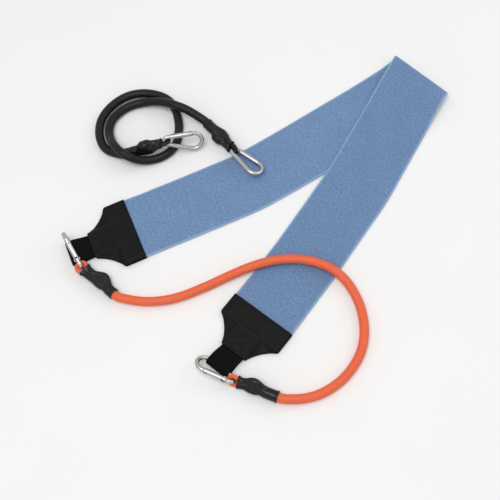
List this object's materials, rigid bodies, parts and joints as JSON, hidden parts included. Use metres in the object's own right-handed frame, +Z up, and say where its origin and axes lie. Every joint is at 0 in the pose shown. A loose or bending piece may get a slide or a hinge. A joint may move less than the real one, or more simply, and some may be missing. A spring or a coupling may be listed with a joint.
{
  "type": "squat resistance band",
  "caption": "Folded elastic squat belt with faux leather tabs, spring snap hooks and a rubber tube clipped between its ends, with a spare coiled rubber tube beside it.",
  "frame": {"origin": "on the floor under the middle of the object's outline in plan, measured without the two free tubes", "axes": "+Z up from the floor, +X along the longest side of the outline, from the snap hooks towards the belt's fold, +Y across, from the right end of the belt towards the coiled tube"},
  "size_m": [0.4796, 0.429, 0.0276],
  "materials": {
    "elastic": "heathered woven elastic",
    "faux_leather": "satin grained",
    "webbing": "ribbed woven webbing",
    "steel": "bright plated steel",
    "coral_rubber": "satin",
    "black_rubber": "satin",
    "moulded_sleeve": "glossy moulded",
    "stopper": "matt"
  },
  "bodies": {
    "belt": {"elastic_band": "elastic", "left_tab_front": "faux_leather", "left_tab_back": "faux_leather", "right_tab_front": "faux_leather", "right_tab_back": "faux_leather", "left_webbing_loop": "webbing", "right_webbing_loop": "webbing", "coral_tube": "coral_rubber"},
    "black_tube_set": {"black_tube": "black_rubber", "black_a_eye": "black_rubber", "black_a_sleeve": "moulded_sleeve", "black_a_stopper_ball": "stopper", "black_b_eye": "black_rubber", "black_b_sleeve": "moulded_sleeve", "black_b_stopper_ball": "stopper"},
    "left_belt_clip": {"left_belt_clip_hook": "steel", "left_belt_clip_rivet": "steel", "coral_left_eye": "coral_rubber", "coral_left_sleeve": "moulded_sleeve", "coral_left_stopper_ball": "stopper"},
    "right_belt_clip": {"right_belt_clip_hook": "steel", "right_belt_clip_rivet": "steel", "coral_right_eye": "coral_rubber", "coral_right_sleeve": "moulded_sleeve", "coral_right_stopper_ball": "stopper"},
    "loose_clip_a": {"loose_clip_a_hook": "steel", "loose_clip_a_rivet": "steel"},
    "loose_clip_b": {"loose_clip_b_hook": "steel", "loose_clip_b_rivet": "steel"},
    "left_belt_clip_gate": {"left_belt_clip_gate": "steel", "left_belt_clip_gate_spring": "steel"},
    "right_belt_clip_gate": {"right_belt_clip_gate": "steel", "right_belt_clip_gate_spring": "steel"},
    "loose_clip_a_gate": {"loose_clip_a_gate": "steel", "loose_clip_a_gate_spring": "steel"},
    "loose_clip_b_gate": {"loose_clip_b_gate": "steel", "loose_clip_b_gate_spring": "steel"}
  },
  "joints": [
    {"name": "black_tube_set_lift", "type": "slide", "parent": "belt", "child": "black_tube_set", "axis": [0, 0, 1], "range_m": [0, 0.15]},
    {"name": "left_belt_clip_swivel", "type": "hinge", "parent": "belt", "child": "left_belt_clip", "pos_m": [-0.23052, 0.03171, 0.005], "axis": [-0.3057, 0.9521, 0], "range_deg": [-75, 15], "deforming": ["coral_tube"]},
    {"name": "right_belt_clip_swivel", "type": "hinge", "parent": "belt", "child": "right_belt_clip", "pos_m": [-0.09313, -0.13916, 0.0051], "axis": [-0.6361, 0.7716, 0], "range_deg": [-60, 60], "deforming": ["coral_tube"]},
    {"name": "loose_clip_a_swing", "type": "hinge", "parent": "black_tube_set", "child": "loose_clip_a", "pos_m": [-0.1024, 0.1388, 0.0203], "axis": [-0.1738, 0.5579, 0.8115], "range_deg": [-60, 0]},
    {"name": "loose_clip_b_swing", "type": "hinge", "parent": "black_tube_set", "child": "loose_clip_b", "pos_m": [-0.0249, 0.1141, 0.0104], "axis": [0.8201, 0.3886, -0.4201], "range_deg": [-60, 0]},
    {"name": "left_belt_clip_gate_hinge", "type": "hinge", "parent": "left_belt_clip", "child": "left_belt_clip_gate", "pos_m": [-0.22603, 0.01772, 0.01585], "axis": [-0.9521, -0.3057, 0], "range_deg": [0, 22], "stiffness_Nm_per_rad": 0.02, "springref_deg": -17.19},
    {"name": "right_belt_clip_gate_hinge", "type": "hinge", "parent": "right_belt_clip", "child": "right_belt_clip_gate", "pos_m": [-0.09019, -0.15617, 0.01178], "axis": [-0.4751, -0.3916, -0.788], "range_deg": [0, 22], "stiffness_Nm_per_rad": 0.02, "springref_deg": -17.19},
    {"name": "loose_clip_a_gate_hinge", "type": "hinge", "parent": "loose_clip_a", "child": "loose_clip_a_gate", "pos_m": [-0.09172, 0.1419, 0.02404], "axis": [-0.0376, 0.8197, -0.5715], "range_deg": [0, 22], "stiffness_Nm_per_rad": 0.02, "springref_deg": -17.19},
    {"name": "loose_clip_b_gate_hinge", "type": "hinge", "parent": "loose_clip_b", "child": "loose_clip_b_gate", "pos_m": [-0.01599, 0.10867, 0.00825], "axis": [-0.3568, -0.2267, -0.9063], "range_deg": [0, 22], "stiffness_Nm_per_rad": 0.02, "springref_deg": -17.19}
  ]
}
